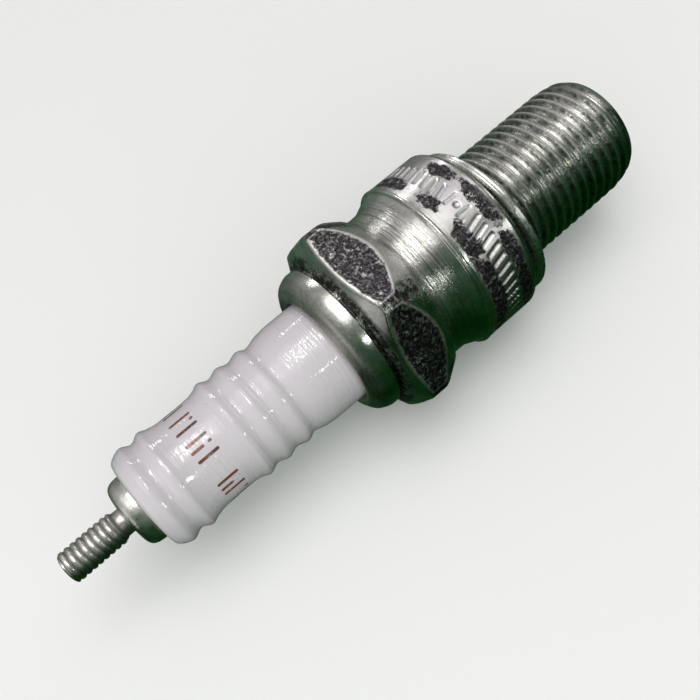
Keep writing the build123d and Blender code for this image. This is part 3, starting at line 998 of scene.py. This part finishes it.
def terminal_steel():
    """Satin nickel plate on the stud, with painted shade in the thread's roots, and scuffed on its crests.
    """
    m = Finish("terminal_steel")
    clouds = m.noise(0.6, 4, 0.6)
    fine = m.noise(6.0, 4, 0.65)
    colour = m.mix(m.between(clouds, 0.3, 0.7), (0.58, 0.57, 0.52), (0.78, 0.77, 0.72))
    colour = m.mix(m.between(fine, 0.55, 0.8, 0.0, 0.5), colour, (0.28, 0.27, 0.25))
    # Painted shade: the thread's roots are darkened.
    colour = m.mix(m.times(m.painted("groove"), 0.75), colour, (0.12, 0.115, 0.10))
    rough = m.add(m.between(clouds, 0.3, 0.7, 0.24, 0.36), m.times(m.painted("groove"), 0.15))
    normal = m.bump(m.noise(1.0, 3, 0.7, m.stretched(8.0, 0.4, 0.4)), 0.02, 0.5)
    normal = m.bump(m.noise(2.6, 4, 0.65), 0.06, 0.6, normal)
    m.set(Base_Color=colour, Metallic=1.0, Roughness=rough, Normal=normal)
    return m.material


def gasket_steel():
    """Plated sheet steel, slightly duller than the shell, with fine scuffs round the ring."""
    m = Finish("gasket_steel")
    clouds = m.noise(0.5, 4, 0.6)
    colour = m.mix(m.between(clouds, 0.3, 0.7), (0.58, 0.58, 0.55), (0.76, 0.76, 0.73))
    colour = m.mix(m.between(m.noise(4.0, 5, 0.7), 0.55, 0.8, 0.0, 0.6), colour, (0.30, 0.29, 0.27))
    rough = m.between(m.noise(2.0, 4, 0.6), 0.3, 0.7, 0.20, 0.38)
    normal = m.bump(m.noise(1.0, 3, 0.7, m.stretched(5.0, 0.5, 0.5)), 0.03, 0.4)
    m.set(Base_Color=colour, Metallic=1.0, Roughness=rough, Normal=normal)
    return m.material


def electrode_nickel():
    """Drawn nickel alloy, warm grey, with lengthwise die marks and a slight heat tint."""
    m = Finish("electrode_nickel")
    clouds = m.noise(0.8, 3, 0.6)
    colour = m.mix(m.between(clouds, 0.35, 0.65), (0.42, 0.39, 0.34), (0.58, 0.56, 0.52))
    colour = m.mix(m.between(m.noise(3.0, 4, 0.7), 0.6, 0.8, 0.0, 0.5), colour, (0.22, 0.19, 0.16))
    rough = m.between(m.noise(3.0, 4, 0.6), 0.3, 0.7, 0.28, 0.45)
    normal = m.bump(m.noise(1.0, 3, 0.7, m.stretched(0.6, 7.0, 7.0)), 0.02, 0.5)
    m.set(Base_Color=colour, Metallic=1.0, Roughness=rough, Normal=normal)
    return m.material


def hidden_finish(name, dark, light, metallic, low, high, scale=2.0):
    """A plain worked finish for a piece inside the plug: two colours, uneven gloss and fine grain."""
    m = Finish(name)
    clouds = m.noise(scale, 4, 0.6)
    m.set(
        Base_Color=m.mix(m.between(clouds, 0.3, 0.7), dark, light),
        Metallic=metallic,
        Roughness=m.between(m.noise(scale * 2, 4, 0.6), 0.3, 0.7, low, high),
        Normal=m.bump(m.noise(scale * 4, 3, 0.6), 0.02, 0.5),
    )
    return m.material


# ---------------------------------------------------------------- pieces on their bodies

shell = make_shell()
insulator = make_insulator()
stud = make_stud()
gasket = make_gasket()
strap = make_strap()
firing_electrode = make_center_electrode()

for piece, node, body in (
    (shell, "shell", "plug"),
    (insulator, "insulator", "plug"),
    (stud, "terminal_stud", "plug"),
    (strap, "ground_electrode", "plug"),
    (firing_electrode, "center_electrode", "plug"),
    (gasket, "gasket", "gasket_ring"),
):
    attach(piece, body)
    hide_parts(node)

nickel = electrode_nickel()
wear(shell, plated_steel(), "plated_shell_steel")
wear(insulator, porcelain(), "porcelain")
wear(stud, terminal_steel(), "terminal_steel")
wear(gasket, gasket_steel(), "gasket_steel")
wear(strap, nickel, "electrode_nickel")
wear(firing_electrode, nickel, "electrode_nickel")

packing = hidden_finish("packing_steel", (0.32, 0.32, 0.32), (0.48, 0.48, 0.48), 1.0, 0.3, 0.5)
glass = hidden_finish("seal_glass", (0.05, 0.045, 0.04), (0.13, 0.12, 0.11), 0.0, 0.35, 0.6)
mass = hidden_finish("resistor_mass", (0.03, 0.03, 0.03), (0.09, 0.09, 0.09), 0.0, 0.6, 0.85, 3.0)
copper = hidden_finish("copper", (0.62, 0.28, 0.17), (0.80, 0.45, 0.30), 1.0, 0.22, 0.4)
talc = hidden_finish("talc", (0.72, 0.71, 0.68), (0.84, 0.83, 0.80), 0.0, 0.75, 0.95, 3.0)
for node, material, slot in (
    ("copper_core", copper, "copper"),
    ("upper_glass_seal", glass, "seal_glass"),
    ("lower_glass_seal", glass, "seal_glass"),
    ("resistor", mass, "resistor_mass"),
    ("inner_washer", packing, "packing_steel"),
    ("lower_packing_ring", packing, "packing_steel"),
    ("upper_packing_ring", packing, "packing_steel"),
    ("talc_seal", talc, "talc"),
):
    wear(frame["nodes"][node], material, slot)

# ---------------------------------------------------------------- stage, light and camera

FLOOR_GAP = 0.02 * MM
LAMP_TARGET = Vector((-0.019, 0, 0))
LAMP_DISTANCE = 0.35
WARM = (1.0, 0.985, 0.97)


def make_floor():
    """A plain pale table. It takes the plug's shadow but isn't seen in the metal."""
    mesh = bpy.data.meshes.new("floor")
    half = 1.2
    corners = [(-half, -half, 0), (half, -half, 0), (half, half, 0), (-half, half, 0)]
    mesh.from_pydata(corners, [], [(0, 1, 2, 3)])
    floor = bpy.data.objects.new("floor", mesh)
    bpy.context.scene.collection.objects.link(floor)
    floor.location.z = FLOOR_Z - FLOOR_GAP
    floor.visible_glossy = False
    floor.visible_diffuse = False
    m = Finish("pale_floor")
    tone = m.mix(m.noise(0.02, 2), (0.93, 0.93, 0.925), (0.95, 0.95, 0.945))
    m.set(Base_Color=tone, Roughness=0.9)
    mesh.materials.append(m.material)


def make_light(name, direction, distance, width, height, power, colour=(1, 1, 1)):
    """A soft rectangular lamp that faces the plug's middle."""
    data = bpy.data.lights.new(name, "AREA")
    data.shape = "RECTANGLE"
    data.size, data.size_y = width, height
    data.energy = power
    data.color = colour
    lamp = bpy.data.objects.new(name, data)
    bpy.context.scene.collection.objects.link(lamp)
    away = Vector(direction).normalized()
    across = away.cross(Vector((1, 0, 0))).normalized()
    lamp.rotation_euler = Matrix((across.cross(away), across, away)).transposed().to_euler()
    lamp.location = LAMP_TARGET + away * distance
    return lamp


def round_axis(degrees):
    """The direction square to the plug's axis at an angle round it from the camera."""
    return TOWARD * cos(radians(degrees)) + ASIDE * sin(radians(degrees))


def make_bar(name, angle, half_width, radiance, length, along):
    """A lamp at an angle round the plug's axis, moved along it, that shows in reflections only.

    angle and half_width are in degrees, length and along in metres.
    """
    width = 2 * LAMP_DISTANCE * tan(radians(half_width))
    power = radiance * pi * width * length
    lamp = make_light(name, round_axis(angle), LAMP_DISTANCE, length, width, power, WARM)
    lamp.location.x += along
    lamp.visible_diffuse = False


# Colour of the studio by how far a direction turns from SKY_SIDE, from opposite (-1) to towards it (1).
SKY_SIDE = -65
SKY = (
    (-1.0, (0.002, 0.022, 0.003)),
    (-0.8, (0.004, 0.032, 0.007)),
    (-0.55, (0.024, 0.058, 0.028)),
    (-0.3, (0.040, 0.085, 0.048)),
    (0.1, (0.08, 0.14, 0.09)),
    (0.5, (0.20, 0.21, 0.20)),
    (0.85, (0.36, 0.36, 0.36)),
    (1.0, (0.42, 0.41, 0.42)),
)
WINDOW_SIDE = -32
WINDOW_EDGE, WINDOW_CORE, WINDOW_RADIANCE = 0.89, 0.99, 1.7
WINDOW_END, WINDOW_FADE = 0.65, 0.30


class Studio(Tree):
    """The world: a sky and a window whose light depends on the angle round the plug's axis."""

    def __init__(self):
        self.world = bpy.data.worlds.new("studio")
        self.world.use_nodes = True
        super().__init__(self.world.node_tree)
        self.direction = self.new("TexCoord").outputs["Generated"]
        self.across = self.vector("NORMALIZE", self.vector("MULTIPLY", self.direction, (0, 1, 1)))

    def towards(self, degrees):
        """How far a direction, seen along the plug, points to an angle round it from the camera."""
        return self.vector("DOT_PRODUCT", self.across, round_axis(degrees))

    def sky(self):
        """Grey on the window's side, falling to deep green on the other."""
        ramp = self.new("ValToRGB")
        self.put(ramp.inputs["Fac"], self.between(self.towards(SKY_SIDE), -1, 1, kind="LINEAR"))
        stops = ramp.color_ramp.elements
        stops[0].color = (*SKY[0][1], 1)
        stops[1].color = (*SKY[-1][1], 1)
        for place, colour in SKY[1:-1]:
            stops.new((place + 1) / 2).color = (*colour, 1)
        background = self.tree.nodes["Background"]
        self.put(background.inputs["Color"], ramp.outputs["Color"])
        return background.outputs[0]

    def window(self):
        """A soft window beside the plug, which fades towards both ends of it."""
        glow = self.between(self.towards(WINDOW_SIDE), WINDOW_EDGE, WINDOW_CORE, 0.0, WINDOW_RADIANCE)
        reach = self.math("ABSOLUTE", self.split(self.direction)["X"])
        fade = self.between(reach, WINDOW_END, WINDOW_FADE, kind="LINEAR")
        background = self.new("Background")
        background.inputs["Color"].default_value = (*WARM, 1)
        self.put(background.inputs["Strength"], self.times(glow, fade))
        return background.outputs[0]


def make_world():
    """A grey studio with a soft window all along one side of the plug, falling to deep green below."""
    studio = Studio()
    bpy.context.scene.world = studio.world
    both = studio.new("AddShader")
    studio.put(both.inputs[0], studio.sky())
    studio.put(both.inputs[1], studio.window())
    studio.put(studio.tree.nodes["World Output"].inputs["Surface"], both.outputs[0])


# The camera looks down at the plug, tilted towards the firing end. TOWARD points from the axis to the
# camera and ASIDE is square to it, to the lower right of the picture. FOCAL is in image widths.
FOCAL = 1.214286
SENSOR_WIDTH = 36.0
TILT = radians(12.265)
ROLL = radians(40.396)
LEAN = radians(26.6)
CAMERA_X = -38.04
CAMERA_HEIGHT = 87.305
CAMERA_ASIDE = 1.535
TOWARD = Vector((0, -sin(LEAN), cos(LEAN)))
ASIDE = Vector((1, 0, 0)).cross(TOWARD)


def make_camera():
    """The camera, placed from the plug's axis and turned by the tilt and the roll."""
    data = bpy.data.cameras.new("camera")
    data.sensor_width = SENSOR_WIDTH
    data.lens = FOCAL * SENSOR_WIDTH
    data.clip_start = 0.005
    camera = bpy.data.objects.new("camera", data)
    bpy.context.scene.collection.objects.link(camera)
    bpy.context.scene.camera = camera
    axis = Vector((1, 0, 0))
    look = axis * sin(TILT) - TOWARD * cos(TILT)
    along = axis * cos(TILT) + TOWARD * sin(TILT)
    right = along * cos(ROLL) + ASIDE * sin(ROLL)
    up = along * sin(ROLL) - ASIDE * cos(ROLL)
    place = (axis * (CAMERA_X - ORIGIN_X) + TOWARD * CAMERA_HEIGHT + ASIDE * CAMERA_ASIDE) * MM
    turn = Matrix((right, up, -look)).transposed().to_4x4()
    camera.matrix_world = Matrix.Translation(place) @ turn


make_floor()
make_world()
# The panes are short, so the glaze shows them as fine strokes. The bars stand beyond the firing side, where
# the neck, the flange and the thread see them but most of the glaze doesn't.
for name, angle, half_width, radiance, length, along in (
    ("pane", WINDOW_SIDE, 14, 42.0, 0.013, 0.02),
    ("left_pane", -88, 1.2, 20.0, 0.008, 0.02),
    ("right_pane", 21, 1.0, 20.0, 0.008, 0.02),
    ("left_bar", -88, 3.0, 10.0, 0.12, 0.135),
    ("right_bar", 24, 2.6, 12.0, 0.12, 0.135),
):
    make_bar(name, angle, half_width, radiance, length, along)
end_side = Vector((-0.95, 0, 0)) + TOWARD * 0.3
make_light("end_card", end_side, LAMP_DISTANCE, width=0.14, height=0.30, power=0.10)
fill_side = TOWARD * 0.8 + ASIDE * 0.4 + Vector((-0.3, 0, 0))
fill = make_light("fill", fill_side, distance=0.7, width=1.2, height=1.2, power=4.8)
fill.visible_glossy = False
bpy.context.scene.view_settings.view_transform = "Standard"
make_camera()
